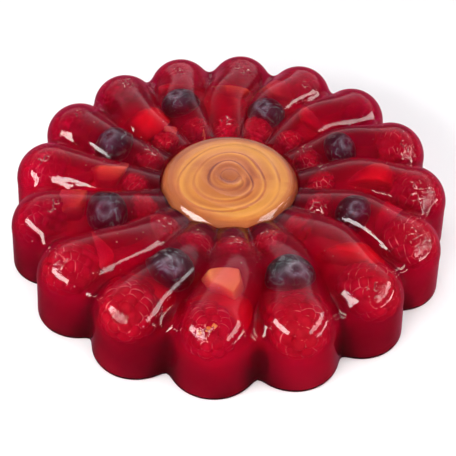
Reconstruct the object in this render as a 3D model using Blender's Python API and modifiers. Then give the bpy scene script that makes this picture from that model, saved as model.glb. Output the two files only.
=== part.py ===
"""Jelly cake turned out of a flower mould: sixteen petals of red jelly round an amber jelly disc.

Units are metres, +Z is up and the origin is the centre of the underside.
"""

import math

import bpy
import numpy as np

MM = 0.001
PETAL_COUNT = 16
PITCH = 2.0 * math.pi / PETAL_COUNT
OUTER_RADIUS = 92.0 * MM  # petal tips at the underside
CAKE_HEIGHT = 31.5 * MM  # petal crests above the underside
SIDE_DRAFT = 0.14  # how far the petal walls lean in for each unit of height
BASE_ROUNDING = 1.2 * MM

TIP_CENTRE = 75.0 * MM  # centre of the round end of each petal, from the axis
TIP_HALF_WIDTH = 15.0 * MM  # petal half width at the round end, where the arch starts
TIP_ARCH = 15.0 * MM  # height of the petal arch there
INNER_HALF_WIDTH = 7.0 * MM  # the same three beside the amber disc
INNER_ARCH = 4.0 * MM
INNER_CREST = 23.3 * MM
CREST_RISE_END = 64.0 * MM  # distance from the axis at which the crest is level
SWIRL = math.radians(6.3)  # the inner part of each petal is turned by this much
SWIRL_START = 48.0 * MM
SWIRL_END = 76.0 * MM

GROOVE_FLOOR = 23.5 * MM  # the grooves go no deeper than this until the outer wall
GROOVE_RADIUS = 83.5 * MM  # inmost line of the outer wall, at the underside
GROOVE_ROUNDING = 7.0 * MM
GROOVE_DRAFT = 0.06
GROOVE_BLEND = 2.5 * MM
PETAL_BLEND = 1.0 * MM

DISC_RADIUS = 28.6 * MM
DISC_CROWN = 25.6 * MM  # height of the middle of the disc
DISC_EDGE_DROP = 1.6 * MM  # how much lower the disc is by its edge
DISC_EDGE_ROUNDING = 2.6 * MM
DISC_UNDERSIDE = 15.0 * MM
RIPPLE_PITCH = 4.2 * MM
RIPPLE_DEPTH = 0.5 * MM
GAP = 0.3 * MM  # clearance between the two jellies

TURN_STEPS = PETAL_COUNT * 10
TOP_RINGS = 9
SHOULDER_RINGS = 8
WALL_RINGS = 3
DISC_STEPS = 36
RIPPLE_POINTS = 4  # profile points to each ripple
ANCHOR_RADIUS = 62.0 * MM
ANCHOR_HEIGHT = 12.0 * MM


def clear_scene():
    for thing in list(bpy.data.objects):
        bpy.data.objects.remove(thing, do_unlink=True)


def jelly_material(name, colour, alpha):
    """Clear gloss jelly of one colour."""
    made = bpy.data.materials.new(name)
    made.use_nodes = True
    shader = made.node_tree.nodes["Principled BSDF"]
    shader.inputs["Base Color"].default_value = (*colour, 1.0)
    shader.inputs["Roughness"].default_value = 0.08
    shader.inputs["IOR"].default_value = 1.36
    shader.inputs["Alpha"].default_value = alpha
    return made


def share(value, start, end):
    return np.clip((value - start) / (end - start), 0.0, 1.0)


def blend_union(first, second, width):
    """Joins two distances with a fillet."""
    near = np.clip(width - np.abs(first - second), 0.0, None) / width
    return np.minimum(first, second) - near * near * width / 4.0


def arch_distance(across, height, half_width, shoulder, arch, draft):
    """Distance outside an upright wall with an arched top, negative inside."""
    above = height - shoulder
    over = np.clip(above, 0.0, None)
    size = np.hypot(across / half_width, over / arch)
    over_top = np.hypot(across, over) * (1.0 - 1.0 / np.maximum(size, 1e-6))
    beside = across - half_width + above * draft
    return np.where(above > 0.0, over_top, beside)


def petal_distance(along, across, height):
    """Distance outside one petal that lies along its own axis."""
    spread = share(along, DISC_RADIUS, TIP_CENTRE)
    half_width = INNER_HALF_WIDTH + (TIP_HALF_WIDTH - INNER_HALF_WIDTH) * spread
    arch = INNER_ARCH + (TIP_ARCH - INNER_ARCH) * spread
    rise = np.sin(share(along, DISC_RADIUS, CREST_RISE_END) * math.pi / 2.0)
    crest = INNER_CREST + (CAKE_HEIGHT - INNER_CREST) * rise
    tip_length = OUTER_RADIUS - TIP_CENTRE - (CAKE_HEIGHT - TIP_ARCH) * SIDE_DRAFT
    past_centre = np.clip(along - TIP_CENTRE, 0.0, None) * TIP_HALF_WIDTH / tip_length
    from_spine = np.hypot(past_centre, across)
    return arch_distance(from_spine, height, half_width, crest - arch, arch, SIDE_DRAFT)


def hub_distance(radius, height):
    """Distance outside the plain round body that floors the grooves."""
    shoulder = GROOVE_FLOOR - GROOVE_ROUNDING
    core = GROOVE_RADIUS - GROOVE_ROUNDING - shoulder * GROOVE_DRAFT
    past_core = np.clip(radius - core, 0.0, None)
    inner_dip = (INNER_CREST - 3.0 * MM - GROOVE_FLOOR) * (1.0 - share(radius, DISC_RADIUS, TIP_CENTRE))
    return arch_distance(past_core, height - inner_dip, GROOVE_ROUNDING, shoulder,
                         GROOVE_ROUNDING, GROOVE_DRAFT)


def flower_distance(radius, turn, height):
    """Distance outside the whole flower; turn is the angle from the nearest petal's axis."""
    own = petal_distance(radius * np.cos(turn), radius * np.abs(np.sin(turn)), height)
    other = PITCH - np.abs(turn)
    beside = petal_distance(radius * np.cos(other), radius * np.sin(other), height)
    petals = blend_union(own, beside, PETAL_BLEND)
    return blend_union(petals, hub_distance(radius, height), GROOVE_BLEND)


def crossing(is_inside, low, high):
    """The value between low and high at which each point leaves the flower."""
    for _ in range(36):
        middle = (low + high) / 2.0
        inside = is_inside(middle)
        low = np.where(inside, middle, low)
        high = np.where(inside, high, middle)
    return (low + high) / 2.0


def top_height(radius, turn):
    """Height of the petals' top above a point of the underside."""
    low = np.full_like(turn, ANCHOR_HEIGHT)
    high = np.full_like(turn, CAKE_HEIGHT * 1.1)
    return crossing(lambda height: flower_distance(radius, turn, height) < 0.0, low, high)


def wall_radius(turn, height):
    """Distance of the outer wall from the axis, with the edge of the underside rounded."""
    level = np.maximum(height, BASE_ROUNDING)
    low = np.full_like(turn, ANCHOR_RADIUS)
    high = np.full_like(turn, OUTER_RADIUS * 1.1)
    radius = crossing(lambda reach: flower_distance(reach, turn, level) < 0.0, low, high)
    below = (level - height) / BASE_ROUNDING
    return radius - BASE_ROUNDING * (1.0 - np.sqrt(1.0 - below * below))


def ray_reach(turn, slope):
    """How far out from the anchor ring the surface lies, along a ray of the given slope angle."""
    def is_inside(reach):
        radius = ANCHOR_RADIUS + reach * np.cos(slope)
        height = ANCHOR_HEIGHT + reach * np.sin(slope)
        return flower_distance(radius, turn, height) < 0.0
    return crossing(is_inside, np.zeros_like(turn), np.full_like(turn, OUTER_RADIUS * 0.6))


def swirl_at(radius):
    amount = share(radius, SWIRL_START, SWIRL_END)
    return SWIRL * (1.0 - amount * amount * (3.0 - 2.0 * amount))


def swirled(radius, turn, height):
    """The place of a surface point, once its petal is swirled."""
    angle = turn + swirl_at(radius) - math.pi / 2.0
    return radius * math.cos(angle), radius * math.sin(angle), height


def shoulder_slopes():
    """Slopes of the rays that space the shoulder rings evenly along a petal's crest line."""
    fine = np.linspace(math.pi / 2.0, 0.0, 600)
    reach = ray_reach(np.zeros_like(fine), fine)
    steps = np.hypot(np.diff(reach * np.cos(fine)), np.diff(reach * np.sin(fine)))
    length = np.concatenate([[0.0], np.cumsum(steps)])
    return np.interp(np.linspace(0.0, length[-1], SHOULDER_RINGS + 1)[1:], length, fine)


def crest_profile():
    """Points (radius, height) down a petal's crest line, from the disc to the underside."""
    recess = DISC_UNDERSIDE - GAP
    rim = DISC_RADIUS + GAP
    radii = np.linspace(rim, ANCHOR_RADIUS, TOP_RINGS + 1)
    slopes = shoulder_slopes()
    reach = ray_reach(np.zeros_like(slopes), slopes)
    heights = list(np.linspace(ANCHOR_HEIGHT, BASE_ROUNDING, WALL_RINGS + 1)[1:])
    heights += [BASE_ROUNDING * 0.3, 0.0]
    points = [(0.0, recess), (rim, recess)]
    points += list(zip(radii, top_height(radii, np.zeros_like(radii))))
    points += [(ANCHOR_RADIUS + far * math.cos(slope), ANCHOR_HEIGHT + far * math.sin(slope))
               for far, slope in zip(reach, slopes)]
    points += [(wall_radius(np.zeros(1), np.array([height]))[0], height) for height in heights]
    return points + [(0.0, 0.0)]


def turned_body(name, points, steps, collection):
    """Turns a profile (radius, height) at +X round the vertical axis into one closed mesh."""
    mesh = bpy.data.meshes.new(name)
    edges = [(i, i + 1) for i in range(len(points) - 1)]
    mesh.from_pydata([(radius, 0.0, height) for radius, height in points], edges, [])
    body = bpy.data.objects.new(name, mesh)
    collection.objects.link(body)
    screw = body.modifiers.new("turn", "SCREW")
    screw.steps = steps
    screw.render_steps = steps
    screw.use_merge_vertices = True
    screw.merge_threshold = 0.00001
    screw.use_smooth_shade = True
    bpy.context.view_layer.objects.active = body
    bpy.ops.object.modifier_apply(modifier=screw.name)
    return body


def wrapped(angle):
    return (angle + PITCH / 2.0) % PITCH - PITCH / 2.0


def fluted(radius, turn, height):
    """Where a point of the turned crest line goes, once it is on the petal at this turn."""
    local = np.array([wrapped(turn)])
    if radius <= ANCHOR_RADIUS + 0.01 * MM:
        return radius, top_height(np.array([radius]), local)[0]
    if height <= ANCHOR_HEIGHT + 0.01 * MM:
        return wall_radius(local, np.array([max(height, 0.0)]))[0], height
    slope = math.atan2(height - ANCHOR_HEIGHT, radius - ANCHOR_RADIUS)
    reach = ray_reach(local, np.array([slope]))[0]
    return ANCHOR_RADIUS + reach * math.cos(slope), ANCHOR_HEIGHT + reach * math.sin(slope)


def flute_petals(body):
    """Moves the turned surface onto the petals, point by point."""
    rim = DISC_RADIUS + GAP - 0.1 * MM
    for vertex in body.data.vertices:
        x, y, height = vertex.co
        radius = math.hypot(x, y)
        if radius < rim or (radius < ANCHOR_RADIUS and height < DISC_UNDERSIDE):
            continue
        turn = math.atan2(y, x) + math.pi / 2.0
        radius, height = fluted(radius, turn, height)
        vertex.co = swirled(radius, turn, height)


def disc_profile():
    """Points (radius, height) of the amber disc, from its rippled middle to its underside."""
    edge_start = DISC_RADIUS - DISC_EDGE_ROUNDING
    rings = round(edge_start / RIPPLE_PITCH * RIPPLE_POINTS)
    points = []
    for radius in np.linspace(0.0, edge_start, rings + 1):
        fall = DISC_EDGE_DROP * (radius / edge_start) ** 2
        ripple = RIPPLE_DEPTH * 0.5 * (1.0 - math.cos(2.0 * math.pi * radius / RIPPLE_PITCH))
        points.append((radius, DISC_CROWN - fall - ripple))
    edge_top = points[-1][1]
    for step in range(1, 5):
        angle = step / 4.0 * math.pi / 2.0
        points.append((edge_start + DISC_EDGE_ROUNDING * math.sin(angle),
                       edge_top - DISC_EDGE_ROUNDING * (1.0 - math.cos(angle))))
    return points + [(DISC_RADIUS, DISC_UNDERSIDE), (0.0, DISC_UNDERSIDE)]


def finish(body, material):
    body.data.materials.append(material)
    bpy.context.view_layer.objects.active = body
    body.select_set(True)
    bpy.ops.object.mode_set(mode="EDIT")
    bpy.ops.mesh.select_all(action="SELECT")
    bpy.ops.mesh.normals_make_consistent(inside=False)
    bpy.ops.object.mode_set(mode="OBJECT")
    bpy.ops.object.shade_smooth_by_angle(angle=math.radians(50.0))
    body.select_set(False)


def build():
    clear_scene()
    cake = bpy.data.collections.new("jelly_cake")
    bpy.context.scene.collection.children.link(cake)
    petals = turned_body("red_jelly", crest_profile(), TURN_STEPS, cake)
    flute_petals(petals)
    finish(petals, jelly_material("red berry jelly", (0.35, 0.0, 0.02), 0.8))
    disc = turned_body("amber_disc", disc_profile(), DISC_STEPS, cake)
    finish(disc, jelly_material("amber jelly", (0.83, 0.35, 0.09), 0.9))


build()
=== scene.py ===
import math
import random

import bpy
import numpy as np
from mathutils import Matrix, Vector


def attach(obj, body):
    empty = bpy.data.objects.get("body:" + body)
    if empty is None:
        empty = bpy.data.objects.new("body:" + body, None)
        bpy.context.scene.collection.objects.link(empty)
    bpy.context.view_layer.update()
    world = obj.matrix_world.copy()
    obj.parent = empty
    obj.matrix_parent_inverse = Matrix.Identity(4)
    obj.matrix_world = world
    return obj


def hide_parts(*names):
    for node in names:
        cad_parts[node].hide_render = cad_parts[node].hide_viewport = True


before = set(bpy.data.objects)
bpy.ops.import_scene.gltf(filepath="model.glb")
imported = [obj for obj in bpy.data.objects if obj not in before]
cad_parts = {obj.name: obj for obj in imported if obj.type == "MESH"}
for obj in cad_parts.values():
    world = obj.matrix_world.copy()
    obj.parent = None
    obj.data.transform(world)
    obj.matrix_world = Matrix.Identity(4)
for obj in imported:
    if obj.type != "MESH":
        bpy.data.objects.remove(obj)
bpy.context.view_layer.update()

mm = 0.001
body = "root"


def srgb(code):  # hex colour as the eye reads it, to the linear values that shaders want
    parts = [int(code[i:i + 2], 16) / 255 for i in (0, 2, 4)]
    return tuple(p / 12.92 if p <= 0.04045 else ((p + 0.055) / 1.055) ** 2.4 for p in parts) + (1,)


def addNode(tree, kind, settings=None):  # a setting is a value, a hex colour, ramp stops or a node to link
    node = tree.nodes.new("ShaderNode" + kind)
    for name, value in (settings or {}).items():
        sockets = [socket for number, socket in enumerate(s for s in node.inputs if s.enabled)
                   if name in (number, socket.name)]
        if isinstance(value, bpy.types.Node):
            value = next(output for output in value.outputs if output.enabled)
        if isinstance(value, bpy.types.NodeSocket):
            tree.links.new(value, sockets[0])
        elif name == "stops":
            elements = node.color_ramp.elements
            elements.remove(elements[1])
            elements[0].position = value[0][0]
            for place, _ in value[1:]:
                elements.new(place)
            for element, (_, code) in zip(elements, value):
                element.color = srgb(code)
        elif sockets:
            sockets[0].default_value = srgb(value) if isinstance(value, str) else value
        else:
            setattr(node, name, value)
    return node


def makeMaterial(name, shade, *details):  # shade adds the nodes and returns what its output takes
    material = bpy.data.materials.new(name)
    material.use_nodes = True
    material.node_tree.nodes.clear()
    addNode(material.node_tree, "OutputMaterial", shade(material.node_tree, *details))
    return material


def pick(*pieces):  # these alone, the first one active
    bpy.ops.object.select_all(action="DESELECT")
    for piece in pieces:
        piece.select_set(True)
    bpy.context.view_layer.objects.active = pieces[0]


def takeNew(name):  # the piece just made, under its own name
    piece = bpy.context.active_object
    piece.name = piece.data.name = name
    return piece


def addPrimitive(name, operator, **sizes):
    bpy.ops.object.select_all(action="DESELECT")
    operator(**sizes)
    return takeNew(name)


def copyPiece(source, name, matrix):  # each copy has its own mesh
    piece = source.copy()
    piece.data = source.data.copy()
    piece.name = piece.data.name = name
    bpy.context.scene.collection.objects.link(piece)
    piece.matrix_world = matrix
    return piece


def joinPieces(pieces, name):
    pick(*pieces)
    bpy.ops.object.join()
    return takeNew(name)


def editMesh(piece, action="DESELECT"):
    pick(piece)
    bpy.ops.object.mode_set(mode="EDIT")
    bpy.ops.mesh.select_all(action=action)


def leaveMesh():
    bpy.ops.object.mode_set(mode="OBJECT")


def modify(piece, kind, **settings):  # adds a modifier and applies it
    modifier = piece.modifiers.new(kind.lower(), kind)
    for name, value in settings.items():
        setattr(modifier, name, value)
    pick(piece)
    bpy.ops.object.modifier_apply(modifier=modifier.name)


def smoothFaces(piece, angle=50):
    pick(piece)
    bpy.ops.object.shade_smooth_by_angle(angle=math.radians(angle))


def pointsOf(piece):
    points = np.empty(len(piece.data.vertices) * 3)
    piece.data.vertices.foreach_get("co", points)
    return points.reshape(-1, 3)


def setPoints(piece, points):
    piece.data.vertices.foreach_set("co", np.ascontiguousarray(points).ravel())
    piece.data.update()


def mark(piece, name, values):
    attribute = piece.data.attributes.new(name, "FLOAT", "POINT")
    attribute.data.foreach_set("value", np.asarray(values).astype(np.float32))


def settle(piece, material):  # a finished piece: place in its mesh, its finish, its body
    piece.data.transform(piece.matrix_world)
    piece.matrix_world = Matrix.Identity(4)
    piece.data.materials.clear()
    piece.data.materials.append(material)
    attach(piece, body)


def share(value, start, end):
    return np.clip((value - start) / (end - start), 0, 1)


def ringTurns(count):  # the angle of each point of a ring, and a ring of ones
    around = np.arange(count) * 2 * math.pi / count
    return around, np.ones_like(around)


def ringPoints(rows, angleAt):  # rows of (radius, height) in millimetres, as points
    radius, height = (np.array(part) for part in zip(*rows))
    angle = angleAt(radius)
    return np.stack([radius * np.cos(angle), radius * np.sin(angle), height], axis=-1) * mm


def wrapGrid(name, rings):  # a flat grid wrapped round the cake's axis, one row of the grid for each ring
    rows, turns = rings.shape[0] - 1, rings.shape[1]
    piece = addPrimitive(name, bpy.ops.mesh.primitive_grid_add, size=1, x_subdivisions=turns,
                         y_subdivisions=rows)
    flat = pointsOf(piece)
    across = np.rint((flat[:, 0] + 0.5) * turns).astype(int) % turns
    up = np.rint((flat[:, 1] + 0.5) * rows).astype(int)
    setPoints(piece, rings[up, across])
    editMesh(piece, "SELECT")
    bpy.ops.mesh.remove_doubles(threshold=1e-7)  # closes the seam and the two centres
    bpy.ops.mesh.normals_make_consistent(inside=False)
    leaveMesh()
    return piece


# camera, looking down on the cake from in front
cameraView = {"lens": 58.2, "sensor": 36, "nearest": 0.01, "distance": 0.3158, "elevation": 45.2,
              "azimuth": 2.95, "roll": 1.76, "lookAt": (0.26 * mm, -7.45 * mm, 1 * mm)}


def fromAngles(azimuth, elevation):  # degrees round from the right, and up
    azimuth, elevation = math.radians(azimuth), math.radians(elevation)
    return Vector((math.cos(azimuth) * math.cos(elevation), math.sin(azimuth) * math.cos(elevation),
                   math.sin(elevation)))


def placeCamera(view):
    away, right = fromAngles(view["azimuth"] - 90, view["elevation"]), fromAngles(view["azimuth"], 0)
    roll = math.radians(view["roll"])
    up = away.cross(right)
    turned = right * math.cos(roll) + up * math.sin(roll)
    upright = up * math.cos(roll) - right * math.sin(roll)
    bpy.ops.object.camera_add(location=Vector(view["lookAt"]) + away * view["distance"])
    camera = bpy.context.active_object
    camera.name = "camera"
    camera.rotation_euler = Matrix((turned, upright, away)).transposed().to_euler()
    camera.data.lens, camera.data.sensor_width = view["lens"], view["sensor"]
    camera.data.clip_start = view["nearest"]
    bpy.context.scene.camera = camera


placeCamera(cameraView)


# studio: pale floor, a surround that is bright behind the cake, soft boxes for the streaks on the wet jelly
studio = {
    "behind": 1.25, "infront": 0.1, "overhead": 0.02, "brightSide": (0.15, 0.99, 0), "turn": (0.1, 0.85),
    "sky": [(0, "A85068"), (0.12, "70384A"), (0.35, "5E3A4A"), (0.46, "FCEEFF"), (0.62, "D2C6D4"),
            (0.95, "000000")],  # what the jelly mirrors, from the horizon up
    "wall": "F8F6F8", "floor": "F8F8F8", "floorSize": 2.4, "floorDrop": 0.1 * mm,
    "boxes": {  # degrees round from the right and up, metres away, wide and tall, and how bright its face is
        "rightBox": (-20, 30, 0.7, 0.8, 0.12, 8), "rightStrip": (-20, 11, 0.7, 0.6, 0.05, 10),
        "leftBox": (-137, 30, 0.7, 0.7, 0.14, 16), "fillFromAbove": (0, 90, 1.6, 1.6, 1.6, 2.1)}}


def lightSurround(settings):  # lights the jelly by direction, while the camera sees a plain wall
    world = bpy.data.worlds.new("white_surround")
    bpy.context.scene.world = world
    world.use_nodes = True
    tree = world.node_tree
    tree.nodes.clear()
    way = addNode(tree, "TexCoord").outputs["Generated"]
    facing = addNode(tree, "VectorMath", {"operation": "DOT_PRODUCT", 0: way, 1: settings["brightSide"]})
    nearest, farthest = settings["turn"]
    turned = addNode(tree, "MapRange", {"Value": facing, "From Min": nearest, "From Max": farthest})
    strength = addNode(tree, "MapRange", {
        "Value": turned, "To Min": settings["infront"], "To Max": settings["behind"]})
    parts = addNode(tree, "SeparateXYZ", {"Vector": way})
    rise = addNode(tree, "ValToRGB", {"Fac": parts.outputs["Z"], "stops": settings["sky"]})
    overhead = (settings["overhead"],) * 3
    glow = addNode(tree, "VectorMath", {"operation": "MULTIPLY_ADD", 0: rise, 1: strength, 2: overhead})
    seen = addNode(tree, "LightPath")
    colour = addNode(tree, "Mix", {"data_type": "RGBA", "Factor": seen, "A": glow, "B": settings["wall"]})
    addNode(tree, "OutputWorld", {"Surface": addNode(tree, "Background", {"Color": colour})})


def lightBoxes(boxes):
    for name, (azimuth, elevation, away, wide, tall, bright) in boxes.items():
        toward = fromAngles(azimuth, elevation)
        bpy.ops.object.light_add(type="AREA", location=toward * away)
        light = bpy.context.active_object
        light.name = name
        light.rotation_euler = toward.to_track_quat("Z", "Y").to_euler()
        light.data.shape = "RECTANGLE"
        light.data.size, light.data.size_y = wide, tall
        light.data.energy = bright * math.pi * wide * tall
        light.visible_glossy = name != "fillFromAbove"  # this one doesn't whiten the wet top


def mattCard(tree, colour):  # painted card, so it is even and has no gloss
    tooth = addNode(tree, "TexNoise", {"Scale": 900, "Detail": 2})
    bump = addNode(tree, "Bump", {"Height": tooth, "Strength": 0.02})
    return {"Surface": addNode(tree, "BsdfPrincipled", {
         "Base Color": colour, "Roughness": 0.9, "Specular IOR Level": 0.1, "Normal": bump})}


def layFloor(settings):
    floor = addPrimitive("floor", bpy.ops.mesh.primitive_plane_add, size=settings["floorSize"],
                         location=(0, 0, -settings["floorDrop"]))
    floor.data.materials.append(makeMaterial("matt_white_card", mattCard, settings["floor"]))
    floor.visible_glossy = False  # keeps the wet walls deep in colour


lightSurround(studio)
lightBoxes(studio["boxes"])
layFloor(studio)
scene = bpy.context.scene
scene.view_settings.view_transform = "Standard"
scene.cycles.max_bounces = 24
scene.cycles.transmission_bounces = 20
scene.cycles.glossy_bounces = 8
scene.cycles.volume_bounces = 16  # the haze needs them, or it turns black
scene.cycles.transparent_max_bounces = 16
print("camera and studio placed")


# the red jelly: sixteen swirled petals from one mould, in millimetres and degrees
petalForm = {
    "count": 16, "outer": 92, "height": 31.5, "draft": 0.14, "baseRounding": 1.2, "petalBlend": 1,
    "tipCentre": 75, "tipHalfWidth": 15, "tipArch": 15, "shoulderFoot": 16, "innerHalfWidth": 7,
    "innerArch": 4, "innerCrest": 23.3, "crestRiseEnd": 64, "swirl": 6.3, "swirlStart": 48, "swirlEnd": 76,
    "grooveFloor": 23.5, "grooveRadius": 83.5, "grooveRounding": 7, "grooveDraft": 0.06, "grooveBlend": 2.5,
    "grooveDip": 3, "recessRadius": 28.9, "recessFloor": 14.7, "recessRounding": 0.6, "discRadius": 28.6,
    "anchorRadius": 62, "anchorHeight": 12, "sunk": 0, "sunkLow": 0}
petalMesh = {"turns": 24, "topRings": 38, "shoulderRings": 44, "wallRings": 20, "footRings": 6, "ease": 4}
pitch = 2 * math.pi / petalForm["count"]
searchMargin, longestReach = 5, 45  # how far past the shape a crossing is looked for


def blendUnion(first, second, width):
    near = np.clip(width - np.abs(first - second), 0, None) / width
    return np.minimum(first, second) - near * near * width / 4


def archDistance(across, height, halfWidth, shoulder, arch, draft):
    above = height - shoulder
    over = np.clip(above, 0, None)
    size = np.hypot(across / halfWidth, over / arch)
    overTop = np.hypot(across, over) * (1 - 1 / np.maximum(size, 1e-6))
    return np.where(above > 0, overTop, across - halfWidth + above * draft)


def petalDistance(f, along, across, height):
    spread = share(along, f["discRadius"], f["tipCentre"])
    halfWidth = f["innerHalfWidth"] + (f["tipHalfWidth"] - f["innerHalfWidth"]) * spread
    arch = f["innerArch"] + (f["tipArch"] - f["innerArch"]) * spread
    rise = np.sin(share(along, f["discRadius"], f["crestRiseEnd"]) * math.pi / 2)
    crest = f["innerCrest"] + (f["height"] - f["innerCrest"]) * rise
    tipLength = f["outer"] - f["tipCentre"] - (f["height"] - f["tipArch"]) * f["draft"]
    pastCentre = np.clip(along - f["tipCentre"], 0, None) * f["tipHalfWidth"] / tipLength
    return archDistance(np.hypot(pastCentre, across), height, halfWidth, crest - arch, arch, f["draft"])


def hubDistance(f, radius, height):
    shoulder = f["grooveFloor"] - f["grooveRounding"]
    core = f["grooveRadius"] - f["grooveRounding"] - shoulder * f["grooveDraft"]
    drop = f["innerCrest"] - f["grooveDip"] - f["grooveFloor"]
    dip = drop * (1 - share(radius, f["discRadius"], f["tipCentre"]))
    return archDistance(np.clip(radius - core, 0, None), height - dip, f["grooveRounding"], shoulder,
                        f["grooveRounding"], f["grooveDraft"])


def flowerDistance(f, radius, turn, height):  # below zero inside the jelly; turn is from the petal's axis
    own = petalDistance(f, radius * np.cos(turn), radius * np.abs(np.sin(turn)), height)
    other = pitch - np.abs(turn)
    beside = petalDistance(f, radius * np.cos(other), radius * np.sin(other), height)
    petals = blendUnion(own, beside, f["petalBlend"])
    return blendUnion(petals, hubDistance(f, radius, height), f["grooveBlend"])


def isInside(f, radius, turn, height):  # sunk is how far inside the surface the shape keeps, up high and low
    sunk = f["sunkLow"] + (f["sunk"] - f["sunkLow"]) * share(height, 0, f["shoulderFoot"])
    return flowerDistance(f, radius, turn, height) < -sunk


def crossing(test, low, high):
    for _ in range(36):
        middle = (low + high) / 2
        inside = test(middle)
        low, high = np.where(inside, middle, low), np.where(inside, high, middle)
    return (low + high) / 2


def topHeight(f, radius, turn):
    return crossing(lambda height: isInside(f, radius, turn, height),
                    np.full_like(radius, searchMargin), np.full_like(radius, f["height"] + searchMargin))


def wallRadius(f, turn, height):
    reach = crossing(lambda radius: isInside(f, radius, turn, height),
                     np.full_like(turn, f["anchorRadius"]), np.full_like(turn, f["outer"] + searchMargin))
    below = np.clip(f["baseRounding"] - height, 0, f["baseRounding"])
    return reach - f["baseRounding"] + np.sqrt(f["baseRounding"] ** 2 - below ** 2)


def rayPoint(f, reach, slope):  # out from the anchor inside each petal, at a slope
    return f["anchorRadius"] + reach * np.cos(slope), f["anchorHeight"] + reach * np.sin(slope)


def rayReach(f, turn, slope):
    def inside(reach):
        radius, height = rayPoint(f, reach, slope)
        return isInside(f, radius, turn, height)
    return crossing(inside, np.zeros_like(turn), np.full_like(turn, longestReach))


def swirlAt(f, radius):
    amount = share(radius, f["swirlStart"], f["swirlEnd"])
    return math.radians(f["swirl"]) * (1 - amount * amount * (3 - 2 * amount))


def recessRows(f, ring, turn):  # floor and wall of the hollow that holds the disc
    rim = f["recessFloor"] + f["recessRounding"]
    rows = [(ring * 0, ring * f["recessFloor"]), (ring * (f["recessRadius"] - f["recessRounding"]),
            ring * f["recessFloor"]), (ring * f["recessRadius"], ring * rim)]
    for part in (0.33, 0.66):
        rise = (topHeight(f, ring * f["recessRadius"], turn) - f["recessFloor"] - f["recessRounding"]) * part
        rows.append((ring * f["recessRadius"], rim + rise))
    return rows


def jellyRings(f, m):
    around, ring = ringTurns(f["count"] * m["turns"])
    turn = (around + pitch / 2) % pitch - pitch / 2
    rows = recessRows(f, ring, turn)
    for radius in np.linspace(f["recessRadius"], f["anchorRadius"], m["topRings"]):
        rows.append((ring * radius, topHeight(f, ring * radius, turn)))
    slopeEnd = math.atan2(f["shoulderFoot"] - f["anchorHeight"], f["outer"] - f["anchorRadius"] - 2)
    slopes = np.linspace(math.pi / 2, slopeEnd, 900)
    reach = rayReach(f, np.zeros_like(slopes), slopes)
    steps = np.hypot(np.diff(reach * np.cos(slopes)), np.diff(reach * np.sin(slopes)))
    path = np.concatenate([[0], np.cumsum(steps)])
    for slope in np.interp(np.linspace(0, path[-1], m["shoulderRings"])[1:], path, slopes):
        rows.append(rayPoint(f, rayReach(f, turn, slope), slope))
    wall = np.linspace(rows[-1][1].min(), f["baseRounding"], m["wallRings"])[1:]
    foot = f["baseRounding"] * (1 - np.sin(np.linspace(0, math.pi / 2, m["footRings"] + 1)[1:]))
    for number, height in enumerate(np.concatenate([wall, foot])):
        level = ring * height
        if number < m["ease"]:  # eases the slanted shoulder ring into level ones
            ease = (number + 1) / (m["ease"] + 1)
            level = rows[-1][1] * (1 - ease) + level * ease
        rows.append((wallRadius(f, turn, level), level))
    rows += [(rows[-1][0] - 2.5, ring * 0), (ring * 0, ring * 0)]
    return ringPoints(rows, lambda radius: around[None, :] + swirlAt(f, radius) - math.pi / 2)


def jellyPlace(petal, out, side, height):  # millimetres along a petal, across it, and up
    turn = math.atan2(side, out)
    radius = math.hypot(out, side)
    angle = (petal - 1) * pitch + turn + float(swirlAt(petalForm, np.array([radius]))[0]) - math.pi / 2
    return Vector((radius * math.cos(angle), radius * math.sin(angle), height)) * mm


def sunkDepth(points):  # how many millimetres each point lies under the jelly's surface
    radius = np.hypot(points[:, 0], points[:, 1])
    angle = np.arctan2(points[:, 1], points[:, 0]) + math.pi / 2 - swirlAt(petalForm, radius)
    turn = (angle + pitch / 2) % pitch - pitch / 2
    return -flowerDistance(petalForm, radius, turn, points[:, 2]), radius, turn


jellyFinish = {"tint": "FFE8EA", "clearness": 1, "ior": 1.34, "roughness": 0.05, "gloss": 0.05, "wet": 0.42,
               "taken": (6.5, 150, 52),  # share of red, green and blue light taken per metre
               "waveSize": 0.011, "waveDepth": 0.05, "creaseSize": 0.0016, "creaseDepth": 0.1,
               "crinkleSize": 0.002, "crinkleDepth": 0.3}


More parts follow.
